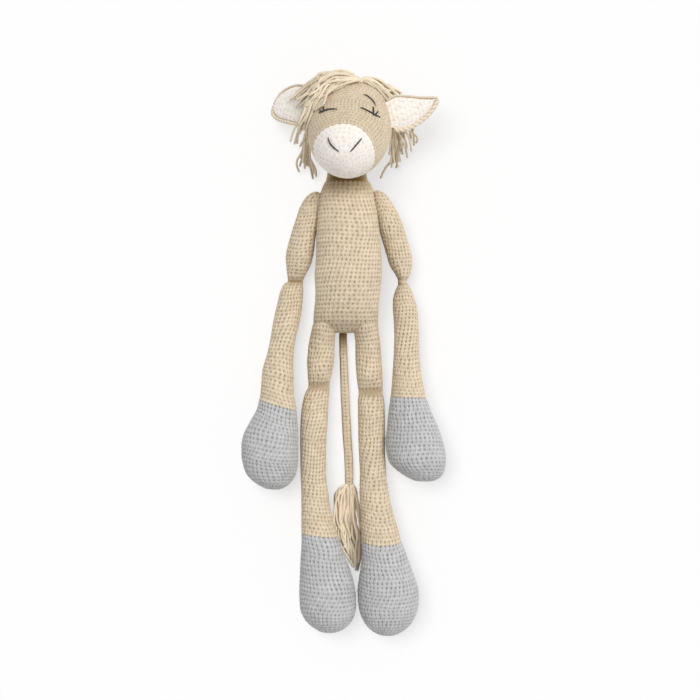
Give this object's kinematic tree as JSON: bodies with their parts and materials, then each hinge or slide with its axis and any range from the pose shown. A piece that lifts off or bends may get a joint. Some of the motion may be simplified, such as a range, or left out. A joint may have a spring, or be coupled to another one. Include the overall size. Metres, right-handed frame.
{
  "type": "crochet cow soft toy",
  "caption": "Long-limbed crocheted cow lying on its back: hooved limbs, lined ears, embroidered face, yarn mane and tasselled tail; head, ears, limbs and tail bend at sewn seams.",
  "frame": {"origin": "on the surface that the toy lies on, under the middle of the torso, where the back is pressed flat", "axes": "+Z is the toy's front, up from the surface; +Y runs from its feet to its head; +X is its own left side"},
  "size_m": [0.1506, 0.4187, 0.0824],
  "materials": {
    "beige_yarn": "beige cotton yarn in single crochet",
    "grey_yarn": "pale grey cotton yarn in single crochet",
    "white_yarn": "white cotton yarn in single crochet",
    "dark_thread": "charcoal embroidery yarn",
    "ply_yarn": "loose plied beige cotton yarn",
    "fibre_fill": "white polyester fibre stuffing"
  },
  "bodies": {
    "torso": {"torso_skin": "beige_yarn", "torso_stuffing": "fibre_fill"},
    "neck": {"neck_seam": "beige_yarn"},
    "head": {"head_skin": "beige_yarn", "muzzle_skin": "white_yarn", "head_stuffing": "fibre_fill", "right_eye": "dark_thread", "left_eye": "dark_thread", "right_brow": "dark_thread", "left_brow": "dark_thread", "right_nostril": "dark_thread", "left_nostril": "dark_thread", "mane_crown": "ply_yarn", "mane_right_front": "ply_yarn", "mane_right_long": "ply_yarn", "mane_left_front": "ply_yarn", "mane_left_long": "ply_yarn"},
    "right_ear": {"right_ear_back": "beige_yarn", "right_ear_lining": "white_yarn"},
    "left_ear": {"left_ear_back": "beige_yarn", "left_ear_lining": "white_yarn"},
    "right_shoulder": {"right_shoulder_seam": "beige_yarn"},
    "right_upper_arm": {"right_upper_arm_skin": "beige_yarn", "right_upper_arm_stuffing": "fibre_fill", "right_elbow_seam": "beige_yarn"},
    "right_forearm": {"right_forearm_skin": "beige_yarn", "right_hand_hoof_skin": "grey_yarn", "right_forearm_stuffing": "fibre_fill"},
    "left_shoulder": {"left_shoulder_seam": "beige_yarn"},
    "left_upper_arm": {"left_upper_arm_skin": "beige_yarn", "left_upper_arm_stuffing": "fibre_fill", "left_elbow_seam": "beige_yarn"},
    "left_forearm": {"left_forearm_skin": "beige_yarn", "left_hand_hoof_skin": "grey_yarn", "left_forearm_stuffing": "fibre_fill"},
    "right_thigh": {"right_thigh_skin": "beige_yarn", "right_thigh_stuffing": "fibre_fill", "right_knee_seam": "beige_yarn"},
    "right_lower_leg": {"right_lower_leg_skin": "beige_yarn", "right_foot_hoof_skin": "grey_yarn", "right_lower_leg_stuffing": "fibre_fill"},
    "left_thigh": {"left_thigh_skin": "beige_yarn", "left_thigh_stuffing": "fibre_fill", "left_knee_seam": "beige_yarn"},
    "left_lower_leg": {"left_lower_leg_skin": "beige_yarn", "left_foot_hoof_skin": "grey_yarn", "left_lower_leg_stuffing": "fibre_fill"},
    "tail": {"tail": "beige_yarn", "tassel": "ply_yarn"}
  },
  "joints": [
    {"name": "neck_turn", "type": "hinge", "parent": "torso", "child": "neck", "pos_m": [0.0004, 0.0583, 0.01578], "axis": [0, 1, 0], "range_deg": [-30, 30]},
    {"name": "neck_nod", "type": "hinge", "parent": "neck", "child": "head", "pos_m": [0.0004, 0.0583, 0.01578], "axis": [1, 0, 0], "range_deg": [0, 20]},
    {"name": "right_ear_fold", "type": "hinge", "parent": "head", "child": "right_ear", "pos_m": [-0.02784, 0.10859, 0.04214], "axis": [-0.3141, -0.9494, 0], "range_deg": [0, 20], "stiffness_Nm_per_rad": 0.004},
    {"name": "left_ear_fold", "type": "hinge", "parent": "head", "child": "left_ear", "pos_m": [0.03125, 0.10857, 0.04419], "axis": [0.2529, -0.9675, 0], "range_deg": [0, 60], "stiffness_Nm_per_rad": 0.004},
    {"name": "right_shoulder_lift", "type": "hinge", "parent": "torso", "child": "right_shoulder", "pos_m": [-0.0293, 0.0443, 0.01829], "axis": [-1, 0, 0], "range_deg": [0, 100]},
    {"name": "right_shoulder_spread", "type": "hinge", "parent": "right_shoulder", "child": "right_upper_arm", "pos_m": [-0.0293, 0.0443, 0.01829], "axis": [0, 0, -1], "range_deg": [0, 75]},
    {"name": "right_elbow", "type": "hinge", "parent": "right_upper_arm", "child": "right_forearm", "pos_m": [-0.03985, -0.0145, 0.0115], "axis": [1, 0, 0], "range_deg": [-85, 0]},
    {"name": "left_shoulder_lift", "type": "hinge", "parent": "torso", "child": "left_shoulder", "pos_m": [0.02923, 0.0443, 0.01829], "axis": [-1, 0, 0], "range_deg": [0, 100]},
    {"name": "left_shoulder_spread", "type": "hinge", "parent": "left_shoulder", "child": "left_upper_arm", "pos_m": [0.02923, 0.0443, 0.01829], "axis": [0, 0, 1], "range_deg": [0, 75]},
    {"name": "left_elbow", "type": "hinge", "parent": "left_upper_arm", "child": "left_forearm", "pos_m": [0.03953, -0.0145, 0.0115], "axis": [0, 0, -1], "range_deg": [-80, 0]},
    {"name": "right_hip", "type": "hinge", "parent": "torso", "child": "right_thigh", "pos_m": [-0.0203, -0.057, 0.0109], "axis": [-1, 0, 0], "range_deg": [0, 90]},
    {"name": "right_knee", "type": "hinge", "parent": "right_thigh", "child": "right_lower_leg", "pos_m": [-0.0218, -0.0938, 0.0109], "axis": [1, 0, 0], "range_deg": [-90, 0]},
    {"name": "left_hip", "type": "hinge", "parent": "torso", "child": "left_thigh", "pos_m": [0.0155, -0.057, 0.0109], "axis": [-1, 0, 0], "range_deg": [0, 90]},
    {"name": "left_knee", "type": "hinge", "parent": "left_thigh", "child": "left_lower_leg", "pos_m": [0.017, -0.0982, 0.0109], "axis": [1, 0, 0], "range_deg": [-90, 0]},
    {"name": "tail_lift", "type": "hinge", "parent": "torso", "child": "tail", "pos_m": [-0.0038, -0.05545, 0.0036], "axis": [-1, 0, 0], "range_deg": [0, 60]}
  ]
}
